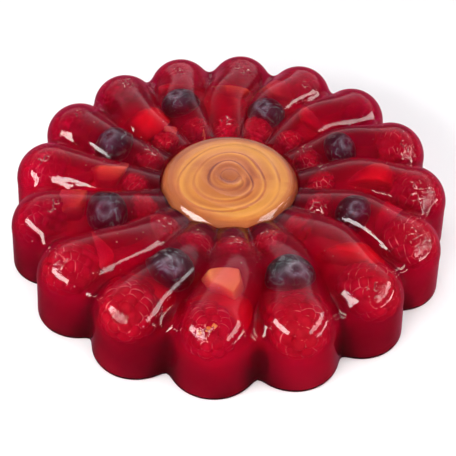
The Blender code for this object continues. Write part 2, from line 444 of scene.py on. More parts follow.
def gelatine(tree, finish):  # set gelatine: wet, smooth, clear near the surface and deeper in colour below
    place = addNode(tree, "TexCoord").outputs["Object"]
    wave = addNode(tree, "TexNoise", {"Vector": place, "Scale": 1 / finish["waveSize"], "Detail": 3,
                                      "Roughness": 0.55})
    swell = addNode(tree, "Bump", {"Height": wave, "Strength": finish["waveDepth"], "Distance": 0.002})
    fine = addNode(tree, "TexNoise", {"Vector": place, "Scale": 1 / finish["creaseSize"], "Detail": 2})
    bump = addNode(tree, "Bump", {"Height": fine, "Normal": swell, "Strength": finish["creaseDepth"],
                                  "Distance": 0.0004})
    touched = addNode(tree, "Attribute", {"attribute_name": "crinkle"}).outputs["Fac"]
    knot = addNode(tree, "TexNoise", {"Vector": place, "Scale": 1 / finish["crinkleSize"], "Detail": 2.5,
                                      "Distortion": 1.2})
    level = addNode(tree, "Math", {"operation": "SUBTRACT", 0: knot, 1: 0.5})
    raised = addNode(tree, "Math", {"operation": "MULTIPLY", 0: level, 1: touched})
    skin = addNode(tree, "Bump", {"Height": raised, "Normal": bump, "Strength": finish["crinkleDepth"],
                                  "Distance": 0.002})
    shader = addNode(tree, "BsdfPrincipled", {
        "Base Color": finish["tint"], "Roughness": finish["roughness"], "IOR": finish["ior"],
        "Specular IOR Level": finish["gloss"], "Transmission Weight": finish["clearness"], "Normal": skin,
        "Coat Weight": finish["wet"], "Coat Roughness": 0.02, "Coat IOR": 1.34, "Coat Normal": skin})
    density = max(finish["taken"]) * 1.02
    kept = tuple(1 - taken / density for taken in finish["taken"]) + (1,)
    depth = addNode(tree, "VolumeAbsorption", {"Color": kept, "Density": density})
    return {"Surface": shader, "Volume": depth}


redJelly = wrapGrid("red_jelly_petals", jellyRings(petalForm, petalMesh))
smoothFaces(redJelly)
settle(redJelly, makeMaterial("raspberry_gelatine", gelatine, jellyFinish))
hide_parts("red_jelly")
crinkles = [  # where a berry touches the skin and crumples it: (petal, out, side, height, reach)
    (1, 83, -2.4, 28.8, 3), (3, 81.8, -4.2, 29.1, 2.8), (4, 80.8, -3.8, 29.8, 4.4),
    (5, 77.4, -8.2, 28.8, 4.6), (5, 74.2, -6, 30.2, 3), (6, 75.1, -9.8, 27.8, 3.4), (8, 68, -6.2, 30.1, 2),
    (9, 71.5, 0.9, 31.5, 4), (9, 67.2, -4.8, 30.7, 2.6), (10, 70.3, 0.6, 31.5, 2.8),
    (11, 72.3, -2.1, 31.3, 3.6), (12, 72.9, 0.4, 31.5, 2.4), (13, 76.3, 5.1, 30.5, 2.8),
    (14, 72.7, 3.5, 31.1, 2.6), (15, 80.9, 1.1, 30.2, 3), (16, 84.9, 0.3, 27.6, 2.2), (1, 40, 0, 26.5, 3.4),
    (2, 38, -1, 26, 3), (16, 37, 1, 25.5, 3), (15, 39, 2, 26, 3), (4, 39.3, -6.2, 25.2, 3.4),
    (5, 37.9, 4.8, 25.5, 3.4), (6, 36, 2, 25, 3), (12, 37, -2, 25, 3.4), (9, 36, 0, 25, 2.6)]
points = pointsOf(redJelly) / mm
crumple = np.zeros(len(points))
for petal, out, side, height, reach in crinkles:
    away = np.linalg.norm(points - np.array(jellyPlace(petal, out, side, height)) / mm, axis=1)
    crumple = np.maximum(crumple, np.clip(1.3 * np.exp(-(away / reach) ** 2), 0, 1))
mark(redJelly, "crinkle", crumple)
print("red jelly made", len(redJelly.data.polygons), "faces")


# the faint cloud of set jelly, just inside the clear surface
cloudFinish = {"scattered": 70, "colour": (1, 0.05, 0.16, 1), "forward": 0.5}  # scattered: share per metre
cloudBody = {**petalForm, "sunk": 0.4, "sunkLow": 0.4, "recessRadius": 29.4, "recessFloor": 14.2,
             "squash": 0.985, "grooveLift": 0, "foot": 0.25}
cloudMesh = {"turns": 12, "topRings": 24, "shoulderRings": 26, "wallRings": 8, "footRings": 6, "ease": 4}


def juiceCloud(tree, finish):  # pectin and juice in the gelatine: softens what lies deep, not the surface
    cloud = addNode(tree, "VolumeScatter", {"Color": finish["colour"], "Density": finish["scattered"],
                                            "Anisotropy": finish["forward"]})
    return {"Surface": addNode(tree, "BsdfTransparent"), "Volume": cloud}


def sunkBody(name, form, mesh):
    piece = wrapGrid(name, jellyRings(form, mesh))
    points = pointsOf(piece)
    turn = sunkDepth(points / mm)[2]
    squash = form["squash"] + form["grooveLift"] * share(np.abs(turn), pitch * 0.3, pitch * 0.5)
    points[:, 2] = form["foot"] * mm + points[:, 2] * squash
    setPoints(piece, points)
    smoothFaces(piece, 60)
    return piece


haze = makeMaterial("juice_cloud_in_gelatine", juiceCloud, cloudFinish)
settle(sunkBody("red_jelly_cloud", cloudBody, cloudMesh), haze)

# the amber disc in the middle
discForm = {
    "radius": 28.6, "crown": 25.6, "edgeDrop": 1.6, "edgeWidth": 3.6, "underside": 15, "wallTop": 20,
    "edgeRounding": 0.5, "ripplePitch": 6.4, "rippleDepth": 0.35, "turns": 180, "rings": 90, "edgeRings": 24,
    "bevel": [(0, 0), (0.38, 1.08), (0.8, 1.2), (0.92, 2.2), (1, 5)]}  # steepness across the rim
amberFinish = {"tint": "FFF3DC", "clearness": 0.96, "ior": 1.35, "roughness": 0.05, "gloss": 0.5, "wet": 0.7,
               "taken": (4, 32, 130), "waveSize": 0.008, "waveDepth": 0.04, "creaseSize": 0.002,
               "creaseDepth": 0.06, "crinkleSize": 0.002, "crinkleDepth": 0}


def discTop(f, radius, angle):
    edge = f["crown"] - f["edgeDrop"] * (radius / f["radius"]) ** 2
    wander = 0.8 * np.sin(angle * 2 + 0.6) + 0.5 * np.sin(angle * 3 + 2)
    phase = (radius + wander * share(radius, 2, 12)) / f["ripplePitch"]
    ridge = np.abs((phase % 1) - 0.5) * 2  # sharp crests with round troughs between them
    strength = 0.65 + 0.35 * np.cos(angle + math.radians(50))
    fade = share(radius, 1, 4) * (1 - share(radius, 21.5, 24.5))  # calm in the middle and along the rim
    return edge - f["rippleDepth"] * strength * fade * (1 - ridge ** 2)


def closeRings(f, rows, around, wallHeights):  # wall and underside
    ring = np.ones_like(around)
    rows += [(ring * f["radius"], ring * height) for height in wallHeights]
    rows += [(ring * radius, ring * f["underside"]) for radius in (f["radius"] - f["edgeRounding"], 0)]
    return ringPoints(rows, lambda radius: around)


def discRings(f):
    around, ring = ringTurns(f["turns"])
    flatEnd = f["radius"] - f["edgeWidth"]
    flat = [ring * radius for radius in np.linspace(0, flatEnd, f["rings"])]
    rows = [(radius, discTop(f, radius, around)) for radius in flat]
    across = np.linspace(0, 1, f["edgeRings"] + 1)
    steepness = np.interp(across, *zip(*f["bevel"]))
    drop = np.cumsum((steepness[1:] + steepness[:-1]) / 2 * np.diff(across)) * f["edgeWidth"]
    for out, down in zip(across[1:], drop):  # a slanted rim that catches the soft boxes
        rows.append((ring * (flatEnd + f["edgeWidth"] * out), discTop(f, ring * flatEnd, around) - down))
    return closeRings(f, rows, around, np.linspace(f["wallTop"], f["underside"] + f["edgeRounding"], 5))


amberDisc = wrapGrid("amber_disc_rippled", discRings(discForm))
smoothFaces(amberDisc)
settle(amberDisc, makeMaterial("amber_gelatine", gelatine, amberFinish))
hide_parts("amber_disc")

swirlForm = {
    "radius": 27.9, "top": 23.4, "edgeDrop": 2, "underside": 15.6, "rounding": 2.6, "edgeRounding": 0.4,
    "turns": 180, "rings": 110, "pitch": 5.8, "rise": 0.85, "wander": 2, "rim": 25,
    "climb": 0.8, "heart": 5.6}  # climb: rising share of a fold; heart: pale ring round the brown middle


def swirlPhase(f, radius, angle):  # turns of the spoon that stirred the amber jelly, counted from the middle
    wander = np.sin(angle + 0.8) + 0.6 * np.sin(angle * 2 + radius * 0.12) + 0.3 * np.sin(angle * 3)
    turned = angle / (2 * math.pi) * share(radius, 2, 5)
    return (radius + f["wander"] * wander * share(radius, 1, 9)) / f["pitch"] + turned


def leafStrength(f, radius, angle):  # each turn of the swirl rises and dies away like the petals of a rose
    turned = 1.9 * np.floor(swirlPhase(f, radius, angle))
    return 0.3 + 0.7 * (0.5 + 0.5 * np.cos(angle + turned + 2.4)) ** 0.8


def swirlRings(f):  # the milky layer of the amber jelly: a stirred surface under a clear top
    around, ring = ringTurns(f["turns"])
    rows = []
    for radius in np.linspace(0, f["radius"] - f["rounding"], f["rings"]):
        fold = swirlPhase(f, ring * radius, around) % 1
        leaf = np.where(fold < f["climb"], fold / f["climb"], (1 - fold) / (1 - f["climb"]))
        fade = share(radius, 0.5, 3) * (1 - share(radius, f["rim"] - 5, f["rim"] - 1))
        level = f["top"] - f["edgeDrop"] * (radius / f["radius"]) ** 2
        depth = f["rise"] * fade * (1 - leaf) * leafStrength(f, ring * radius, around)
        rows.append((ring * radius, level - depth))
    edge = rows[-1][1]
    for step in np.linspace(0, math.pi / 2, 8)[1:]:
        rows.append((ring * (f["radius"] + f["rounding"] * (math.sin(step) - 1)),
                     edge - f["rounding"] * (1 - math.cos(step))))
    return closeRings(f, rows, around, [f["underside"] + f["edgeRounding"]])


def swirlTone(f, points):  # how pale each point is: tan in the middle, golden outside, with painted shade in the folds and painted highlights on their crests
    radius, angle = np.hypot(points[:, 0], points[:, 1]), np.arctan2(points[:, 1], points[:, 0])
    angle = np.where(angle < 0, angle + 2 * math.pi, angle)
    fold = swirlPhase(f, radius, angle) % 1
    strength = leafStrength(f, radius, angle)
    foldShade = np.exp(-((fold - 0.92) / 0.13) ** 2) + 0.5 * np.exp(-((fold - 0.4) / 0.2) ** 2) * strength
    crestHighlight = np.exp(-((fold - 0.74) / 0.09) ** 2)
    paintedFoldLight = (0.3 * crestHighlight - 0.42 * foldShade) * strength * share(radius, 2, 5)
    # a pale ring round the brown middle, brighter toward the lower right as a painted highlight
    heart = np.exp(-((radius - f["heart"]) / 0.9) ** 2) * (0.6 + 0.4 * np.cos(angle + math.radians(70)))
    aside = np.abs(np.cos(angle + math.radians(15))) ** 3
    beside = np.exp(-((radius - f["heart"] - 3.2) / 1.3) ** 2) * aside
    tone = 0.26 + 0.56 * share(radius, 4, 20) + paintedFoldLight + 0.34 * heart - 0.26 * beside
    left = 0.5 + 0.5 * np.cos(angle - math.radians(205))
    rim = share(radius, f["rim"] - 1.2 - 3.5 * left ** 2, f["rim"] + 0.8 - 2 * left ** 2)
    return tone * (1 - rim) + (0.12 + 0.12 * left) * rim


def milkyAmber(tree):  # amber gelatine stirred with a little cream: soft, without gloss inside the clear one
    place = addNode(tree, "TexCoord").outputs["Object"]
    tone = addNode(tree, "Attribute", {"attribute_name": "tone"}).outputs["Fac"]
    cream = addNode(tree, "TexNoise", {"Vector": place, "Scale": 55, "Detail": 3, "Distortion": 0.8})
    shifted = addNode(tree, "Math", {"operation": "MULTIPLY_ADD", 0: cream, 1: 0.5, 2: -0.25})
    drawn = addNode(tree, "Math", {"operation": "ADD", 0: tone, 1: shifted})
    stops = [(0, "A04818"), (0.3, "D07C3C"), (0.55, "E49C54"), (0.85, "FFC868")]
    ramp = addNode(tree, "ValToRGB", {"Fac": drawn, "stops": stops})
    return {"Surface": addNode(tree, "BsdfPrincipled", {
        "Base Color": ramp, "Roughness": 0.6, "Specular IOR Level": 0.1})}


amberCloud = wrapGrid("amber_milky_layer", swirlRings(swirlForm))
smoothFaces(amberCloud)
settle(amberCloud, makeMaterial("milky_amber_gelatine", milkyAmber))
mark(amberCloud, "tone", swirlTone(swirlForm, pointsOf(amberCloud) / mm))
print("amber disc made")


# the haze of set jelly: what lies deeper fades into it, so that only what is near the surface is sharp
# the glow colour is a painted glow beside bright fruit, and the groove colour a painted shade in the grooves
hazeLook = {"stops": [(0.3, "6C061C"), (0.5, "A8102E"), (0.7, "D42440")], "patch": 0.03, "glow": "F23A42",
            "grooveShade": "4A060E", "start": 2, "full": 13}  # patch in metres, the last two in millimetres deep


def hazeColour(tree):  # uneven crimson of cloudy jelly
    place = addNode(tree, "TexCoord").outputs["Object"]
    patch = addNode(tree, "TexNoise", {"Vector": place, "Scale": 1 / hazeLook["patch"], "Detail": 3})
    return addNode(tree, "ValToRGB", {"Fac": patch, "stops": hazeLook["stops"]})


def sinkInHaze(tree, colour, full=hazeLook["full"]):  # a fruit's colour fades to the haze with its depth
    depth = addNode(tree, "Attribute", {"attribute_name": "sunk"}).outputs["Fac"]
    fade = addNode(tree, "MapRange", {"interpolation_type": "SMOOTHSTEP", "Value": depth,
                                      "From Min": hazeLook["start"], "From Max": full})
    return addNode(tree, "Mix", {"data_type": "RGBA", "Factor": fade, "A": colour, "B": hazeColour(tree)})


# fruit set in the jelly: every piece is laid by its petal, how far out, how far aside and how high
def layFruit(kind, material, name, petal, out, side, height, turn, tilt, roll, size):
    axis = (petal - 1) * pitch - math.pi / 2 + float(swirlAt(petalForm, np.array([out]))[0])
    matrix = (Matrix.Translation(jellyPlace(petal, out, side, height))
              @ Matrix.Rotation(axis + math.radians(turn), 4, "Z")  # the long axis lies along the petal
              @ Matrix.Rotation(math.radians(90 - tilt), 4, "Y")
              @ Matrix.Rotation(math.radians(roll), 4, "Z")
              @ Matrix.Diagonal(Vector(size).to_4d()))
    piece = copyPiece(kind, name, matrix)
    settle(piece, material)
    mark(piece, "sunk", sunkDepth(pointsOf(piece) / mm)[0])


# raspberries: a dome of drupelets, with a painted reflection of caught air where they meet
raspberryForm = {
    "length": 17.5, "width": 17, "rows": 8, "lowest": -0.38, "rowRise": 0.122,  # the rows in shares of length
    "drupelet": 2.25, "spacing": 1.62, "relief": 0.62, "hollow": 3, "webWidth": 0.42, "coreInset": 1,
    "coreShare": 0.86, "detail": 6}


def drupeletCentres(f, seed):
    dice = random.Random(seed)
    centres = []
    for row in range(f["rows"]):
        height = f["lowest"] + row * f["rowRise"]
        bulge = math.sqrt(max(1 - ((height + 0.12) / 0.62) ** 2, 0.01))
        radius = (f["width"] / 2 - f["drupelet"] * 0.8) * bulge
        count = max(1, round(2 * math.pi * radius / (f["drupelet"] * f["spacing"])))
        start = dice.random() * 6.28
        for number in range(count):
            angle = start + number * 2 * math.pi / count + dice.uniform(-0.06, 0.06)
            centres.append((radius * math.cos(angle), radius * math.sin(angle), height * f["length"]
                            + dice.uniform(-0.35, 0.35), f["drupelet"] * dice.uniform(0.93, 1.07)))
    return np.array(centres)


def makeRaspberry(name, f, seed):
    piece = addPrimitive(name, bpy.ops.mesh.primitive_ico_sphere_add, subdivisions=f["detail"], radius=1)
    way = pointsOf(piece)
    way /= np.linalg.norm(way, axis=1)[:, None]
    centres = drupeletCentres(f, seed)
    toward = way @ centres[:, :3].T
    inside = toward ** 2 - (centres[:, :3] ** 2).sum(1)[None, :] + centres[:, 3][None, :] ** 2
    exits = np.where(inside > 0, toward + np.sqrt(np.clip(inside, 0, None)), 0)
    order = np.sort(exits, axis=1)
    farthest, second = order[:, -1], order[:, -2]
    core = 1 / np.sqrt((way[:, 0] ** 2 + way[:, 1] ** 2) / (f["width"] / 2 - f["coreInset"]) ** 2
                         + (way[:, 2] / (f["length"] / 2 - f["coreInset"])) ** 2)  # smooth, below them
    reach = core + (np.maximum(farthest, core * f["coreShare"]) - core) * f["relief"]
    crease = 1 - np.clip((farthest - second) / f["webWidth"], 0, 1)
    crease = np.where(farthest < core * f["coreShare"], 1, crease)
    fromEnd = np.degrees(np.arccos(np.clip(-way[:, 2], -1, 1)))  # angle from the open end
    hollow = 1 - share(fromEnd, 20, 32)
    reach = reach * (1 - hollow) + hollow * f["hollow"]
    setPoints(piece, way * reach[:, None] * mm)
    mark(piece, "web", np.maximum(crease, hollow * 0.8))
    smoothFaces(piece, 75)
    return piece


def raspberrySkin(tree):  # ripe raspberry: thin skin over deep red flesh, with pale lines where the drupelets join that are a painted reflection of caught air
    place = addNode(tree, "TexCoord").outputs["Object"]
    web = addNode(tree, "Attribute", {"attribute_name": "web"}).outputs["Fac"]
    mottle = addNode(tree, "TexNoise", {"Vector": place, "Scale": 160, "Detail": 2})
    flesh = addNode(tree, "ValToRGB", {"Fac": mottle, "stops": [(0.35, "B41226"), (0.65, "CE1C32")]})
    broken = addNode(tree, "Math", {"operation": "MULTIPLY_ADD", 0: mottle, 1: 2.2, 2: -1.2})
    drawn = addNode(tree, "Math", {"operation": "ADD", 0: web, 1: broken})
    where = addNode(tree, "MapRange", {"Value": drawn, "From Min": 0.45, "From Max": 0.8})
    skin = addNode(tree, "Mix", {"data_type": "RGBA", "Factor": where, "A": flesh, "B": "FFC4A4"})
    return {"Surface": addNode(tree, "BsdfPrincipled", {
        "Base Color": sinkInHaze(tree, skin, 8.5), "Roughness": 0.5, "IOR": 1.4, "Specular IOR Level": 0.1})}


raspberryMaterial = makeMaterial("ripe_raspberry_skin", raspberrySkin)
raspberryKinds = [makeRaspberry("raspberry_kind_%d" % n, raspberryForm, 40 + n) for n in range(3)]
raspberries = {  # petal: (out, side, height, turn, tilt up, roll, size)
    "tip": {
        1: (76, -1, 18.8, 8, 30, 0, 1), 2: (76.8, -0.6, 19, -10, 25, 40, 1.18),
        3: (76.6, 0.6, 19.4, 5, 25, 80, 1.12), 4: (76.2, 0.6, 20, 10, 25, 130, 1.06),
        5: (76, 0.5, 18.6, -12, 25, 170, 1.02), 6: (75.5, 0, 19.4, -14, 5, 210, 1),
        7: (76, 0, 15.5, 12, 15, 250, 0.95), 8: (75.5, 0, 17, 0, 20, 290, 0.98),
        9: (75.5, 0, 18.4, -8, 25, 330, 1), 10: (76, 0, 17.4, 6, 20, 10, 0.98),
        11: (76, 0, 17.6, -6, 12, 50, 0.98), 12: (76, 0, 16.6, 10, 18, 90, 0.98),
        13: (76, -0.6, 17.6, -10, 15, 130, 1), 14: (76, -1, 17.8, 8, 15, 170, 0.96),
        15: (76, -0.6, 19.4, -6, 25, 210, 1.04), 16: (76.4, -0.6, 19.4, 8, 25, 250, 1.14)},
    "inner": {
        number: (38 + (number * 5 % 3) * 0.8, 0.4 * (number * 3 % 5 - 2), 16.6 + 0.5 * (number % 3),
                 25 * (number * 5 % 7 - 3), 40 + 10 * (number % 4), 47 * number, 0.7)
        for number in range(1, petalForm["count"] + 1)}}
for end, berries in raspberries.items():
    for number, (*spot, size) in berries.items():
        name = "raspberry_%s_%02d" % (end, number)
        layFruit(raspberryKinds[number % 3], raspberryMaterial, name, number, *spot, [size] * 3)
for kind in raspberryKinds:
    bpy.data.objects.remove(kind)
print("raspberries laid")


# blueberries: one near the top of every second petal
blueberryForm = {"radius": 7.9, "oblate": 0.9, "crown": 3.1, "crownRise": 0.8, "crownDip": 1.7, "lobes": 5,
                 "insets": (0.25, 0.55, 0.3), "lobeRise": 0.9, "lobeSpread": 0.16}


def makeBlueberry(name, f):
    piece = addPrimitive(name, bpy.ops.mesh.primitive_uv_sphere_add, segments=40, ring_count=28,
                         radius=f["radius"] * mm)
    cap = math.cos(math.asin(f["crown"] / f["radius"])) * f["radius"] * mm
    for face in piece.data.polygons:
        face.select = face.center.z > cap
    bpy.ops.object.mode_set(mode="EDIT")
    for inset, rise in zip(f["insets"], (f["crownRise"], 0, -f["crownDip"])):
        bpy.ops.mesh.inset(thickness=inset * mm)
        bpy.ops.transform.translate(value=(0, 0, rise * mm))
    leaveMesh()
    points = pointsOf(piece)
    points[:, 2] *= f["oblate"]
    angle = np.arctan2(points[:, 1], points[:, 0])
    away = np.hypot(points[:, 0], points[:, 1]) / mm
    rim = np.exp(-((away - f["crown"] + 0.5) / 0.7) ** 2) * (points[:, 2] > 0)
    lobes = np.abs(np.cos(angle * (f["lobes"] / 2)))
    points[:, 2] += rim * (lobes - 0.6) * f["lobeRise"] * mm
    points[:, :2] *= (1 + rim * (lobes - 0.5) * f["lobeSpread"])[:, None]
    setPoints(piece, points)
    mark(piece, "crown", np.exp(-((away - f["crown"] + 0.4) / 1) ** 2) * (points[:, 2] > 0))
    modify(piece, "SUBSURF", levels=1, render_levels=1)
    smoothFaces(piece, 80)
    return piece


def blueberrySkin(tree):  # thin waxed skin: nearly black, with a grey bloom rubbed off in places
    place = addNode(tree, "TexCoord").outputs["Object"]
    patch = addNode(tree, "TexNoise", {"Vector": place, "Scale": 210, "Detail": 4, "Roughness": 0.6,
                                       "Distortion": 1.6})
    stops = [(0.42, "141A18"), (0.54, "344642"), (0.7, "B4D0C8")]
    bloom = addNode(tree, "ValToRGB", {"Fac": patch, "stops": stops})
    crown = addNode(tree, "Attribute", {"attribute_name": "crown"}).outputs["Fac"]
    worn = addNode(tree, "Math", {"operation": "MULTIPLY", 0: crown, 1: patch})
    skin = addNode(tree, "Mix", {"data_type": "RGBA", "Factor": worn, "A": bloom, "B": "D4DCDC"})
    depth = addNode(tree, "Attribute", {"attribute_name": "sunk"}).outputs["Fac"]
    under = addNode(tree, "MapRange", {"Value": depth, "From Min": 0.5, "From Max": 6})
    cool = addNode(tree, "Mix", {"data_type": "RGBA", "Factor": under, "A": "E4FFF0", "B": "4CF4A4"})
    cooled = addNode(tree, "Mix", {"data_type": "RGBA", "blend_type": "MULTIPLY", "Factor": 1, "A": skin,
                                   "B": cool})  # so that it looks grey through red jelly
    bump = addNode(tree, "Bump", {"Height": patch, "Strength": 0.3, "Distance": 0.0006})
    return {"Surface": addNode(tree, "BsdfPrincipled", {
        "Base Color": sinkInHaze(tree, cooled, 30), "Roughness": 0.4, "IOR": 1.5, "Normal": bump})}


blueberryMaterial = makeMaterial("waxed_blueberry_skin", blueberrySkin)
blueberryKind = makeBlueberry("blueberry_kind", blueberryForm)
blueberries = {  # petal: (out, side, height, turn, tilt up, size)
    2: (58.6, -0.9, 23.7, 20, 66, 0.98), 4: (53.4, -1.1, 21.6, -60, 72, 0.9),
    6: (52.5, -0.8, 21.6, -60, 65, 0.88), 8: (49.5, 0.4, 21.2, 120, 65, 0.9),
    10: (55.5, 0.8, 22.8, 60, 70, 0.9), 12: (54, -0.9, 22.2, 30, 72, 0.94),
    14: (53.2, -0.3, 21.9, 70, 60, 0.96), 16: (56.5, -1, 23.3, 40, 64, 0.98)}
for number, (*spot, size) in blueberries.items():
    name = "blueberry_%02d" % number
    layFruit(blueberryKind, blueberryMaterial, name, number, *spot, 20 * number, [size] * 3)
bpy.data.objects.remove(blueberryKind)
print("blueberries laid")


# cut fruit: strawberries and tinned peach, cut by hand into halves, quarters and wedges
cutForm = {"strawberryLength": 25, "strawberryWidth": 21, "peachRadius": 15, "grain": 0.6,
           "softening": {"strawberry": 40, "peach": 14}}


def strawberryRadius(height):  # a rounded cone, widest near its shoulder
    part = np.clip((height + cutForm["strawberryLength"] / 2) / cutForm["strawberryLength"], 0, 1)
    return np.maximum(cutForm["strawberryWidth"] / 2 * np.sin(math.pi * (1 - part) ** 0.62) ** 0.75, 0.6)


def peachRadius(height):
    return np.full_like(height, cutForm["peachRadius"])


def wholeStrawberry(name):
    piece = addPrimitive(name, bpy.ops.mesh.primitive_uv_sphere_add, segments=40, ring_count=30, radius=1)
    points = pointsOf(piece)
    height = points[:, 2] * cutForm["strawberryLength"] / 2
    away = np.hypot(points[:, 0], points[:, 1])
    radius = np.where(away > 1e-4, strawberryRadius(height), 0)
    way = points[:, :2] / np.maximum(away, 1e-6)[:, None]
    setPoints(piece, np.column_stack([way * radius[:, None], height]) * mm)
    return piece


def wholePeach(name):
    return addPrimitive(name, bpy.ops.mesh.primitive_uv_sphere_add, segments=40, ring_count=24,
                        radius=cutForm["peachRadius"] * mm)


wholeFruit = {"strawberry": (wholeStrawberry, strawberryRadius), "peach": (wholePeach, peachRadius)}


def cutKind(kind, fruit, cuts):  # each cut is a point and the way that is cut off, in millimetres
    makeWhole, radiusAt = wholeFruit[fruit]
    piece = makeWhole("%s_%s" % (fruit, kind))
    for point, way in cuts:
        editMesh(piece, "SELECT")
        bpy.ops.mesh.bisect(plane_co=Vector(point) * mm, plane_no=way, use_fill=True, clear_outer=True)
        leaveMesh()
    modify(piece, "REMESH", mode="VOXEL", voxel_size=cutForm["grain"] * mm, use_smooth_shade=True)
    modify(piece, "SMOOTH", factor=0.6, iterations=cutForm["softening"][fruit])  # rounds what a knife leaves
    points = pointsOf(piece) / mm
    away = np.hypot(points[:, 0], points[:, 1])
    mark(piece, "core", 1 - np.clip(away / radiusAt(points[:, 2]), 0, 1))  # 1 on the whole fruit's axis
    points = pointsOf(piece)
    setPoints(piece, points - (points.min(0) + points.max(0)) / 2)  # laid and turned by its own middle
    return piece


def fruitFlesh(tree, outer, middle, core):  # cut fruit: wet flesh, fibrous, paler toward the core
    place = addNode(tree, "TexCoord").outputs["Object"]
    depth = addNode(tree, "Attribute", {"attribute_name": "core"}).outputs["Fac"]
    fibre = addNode(tree, "TexNoise", {"Vector": place, "Scale": 420, "Detail": 3, "Roughness": 0.6})
    shifted = addNode(tree, "Math", {"operation": "MULTIPLY_ADD", 0: fibre, 1: 0.16, 2: -0.08})
    drawn = addNode(tree, "Math", {"operation": "ADD", 0: depth, 1: shifted})
    ramp = addNode(tree, "ValToRGB", {"Fac": drawn, "stops": [(0.02, outer), (0.3, middle), (0.85, core)]})
    bump = addNode(tree, "Bump", {"Height": fibre, "Strength": 0.3, "Distance": 0.0004})
    return {"Surface": addNode(tree, "BsdfPrincipled", {
        "Base Color": sinkInHaze(tree, ramp), "Roughness": 0.5, "IOR": 1.4, "Specular IOR Level": 0.1,
        "Normal": bump})}


fleshes = {"strawberry": makeMaterial("cut_strawberry_flesh", fruitFlesh, "EC1424", "F42832", "FF7A6A"),
           "peach": makeMaterial("tinned_peach_flesh", fruitFlesh, "FFBC4C", "FFC85C", "FFD87C")}
halving = ((0, 0.3, 0), (0.03, -1, 0.02))
cutKinds = {
    "half": ("strawberry", [halving]),
    "quarter": ("strawberry", [halving, ((0.3, 0, 0), (-0.9, 0.44, 0.01))]),
    "wedge": ("peach", [((0, 0, 0), (0, -1, 0)), ((2, 0, 0), (-1, 0.5, 0.1)),
                        ((0, 0, 7.5), (0.3, 0.1, 1)), ((0, 0, -8), (0.4, -0.2, -1))]),
    "chunk": ("peach", [((-6.8, 0, 0), (-1, 0.05, 0)), ((0, 7.3, 0), (-0.1, 1, 0.03)),
                        ((8, 4, 0), (0.37, 0.93, 0.02)), ((-7, -7.3, 0), (0.18, -0.98, 0.04)),
                        ((8, 4, 0), (0.82, -0.57, 0.05)), ((0, 0, 4), (0.05, 0, 1)),
                        ((0, 0, -4.4), (0, 0.05, -1))])}
cutPieces = {kind: (cutKind(kind, fruit, cuts), fleshes[fruit]) for kind, (fruit, cuts) in cutKinds.items()}
cutFruit = {  # name: (kind, petal, out, side, height, turn, tilt, roll, size)
    "peach_01": ("chunk", 1, 61, -1.6, 24.5, 0, 100, 0, (0.84, 0.8, 0.85)),
    "strawberry_01": ("half", 1, 68.5, 0.5, 21, 80, 0, 90, (0.8, 0.7, 0.8)),
    "strawberry_02": ("quarter", 2, 67, 1, 20, 30, 0, 120, (0.75, 0.75, 0.8)),
    "strawberry_03": ("half", 3, 63, 4, 19.8, 10, 5, 0, (0.94, 1, 0.94)),
    "strawberry_04": ("quarter", 4, 64.5, 6, 19.5, 70, 10, 30, (0.85, 0.85, 0.8)),
    "strawberry_05": ("half", 5, 59.5, 3.5, 20, -20, 10, 20, (0.85, 0.9, 0.85)),
    "strawberry_07": ("quarter", 7, 53.5, -1, 20, 90, 20, 40, (0.8, 0.8, 0.7)),
    "peach_08": ("wedge", 8, 64, 4.5, 20.5, 120, 20, 30, (0.7, 0.7, 0.8)),
    "peach_09": ("wedge", 9, 61, -0.5, 21.5, 90, 5, 80, (0.6, 0.6, 0.9)),
    "strawberry_09": ("half", 9, 56, -0.5, 16, 80, 0, 90, (0.85, 0.7, 0.8)),
    "strawberry_10": ("quarter", 10, 65.5, 0, 20, 80, 20, 60, (0.8, 0.8, 0.8)),
    "strawberry_11": ("half", 11, 54.5, -0.8, 21.2, 200, 20, 90, (0.92, 0.92, 0.88)),
    "peach_11": ("wedge", 11, 41.8, -4.3, 19.6, 60, 30, 0, (0.3, 0.3, 0.4)),
    "peach_10": ("wedge", 10, 36, -1.6, 18.8, 0, 60, 0, (0.25, 0.25, 0.3)),
    "peach_crumb_1": ("wedge", 1, 82.2, -4.2, 26.2, 10, 30, 0, (0.13, 0.13, 0.13)),
    "peach_crumb_2": ("wedge", 1, 81.6, -1, 27.6, 70, 10, 60, (0.15, 0.12, 0.14)),
    "peach_crumb_3": ("wedge", 1, 80.6, 0.6, 28.2, 130, 40, 30, (0.1, 0.13, 0.12)),
    "peach_13": ("wedge", 13, 50.5, -3.5, 21.5, 0, 5, 80, (0.7, 0.7, 1.1)),
    "strawberry_13": ("quarter", 13, 62, 2, 18, 10, 0, 30, (0.8, 0.8, 0.9)),
    "peach_14": ("wedge", 14, 63.5, -5, 21, 60, 20, 50, (0.85, 0.85, 0.9)),
    "strawberry_15": ("quarter", 15, 63, -1, 20.8, 60, 10, 30, (0.7, 0.7, 0.7)),
    "strawberry_16": ("half", 16, 66, -1, 19.5, 70, 0, 60, (0.75, 0.75, 0.75))}
for name, (kind, *spot) in cutFruit.items():
    layFruit(*cutPieces[kind], name, *spot)
for source, _ in cutPieces.values():
    bpy.data.objects.remove(source)
print("cut fruit laid")


# the cloudy heart of the red jelly: what the eye meets a few millimetres in
heartForm = {**petalForm, "sunk": 6, "sunkLow": 1, "recessRadius": 31.5, "recessFloor": 12,
             "anchorHeight": 10, "foot": 0.25, "squash": 0.74, "grooveLift": 0.22,
             "glowReach": 9, "shadeReach": 8.5, "grooveGlow": 5.5}


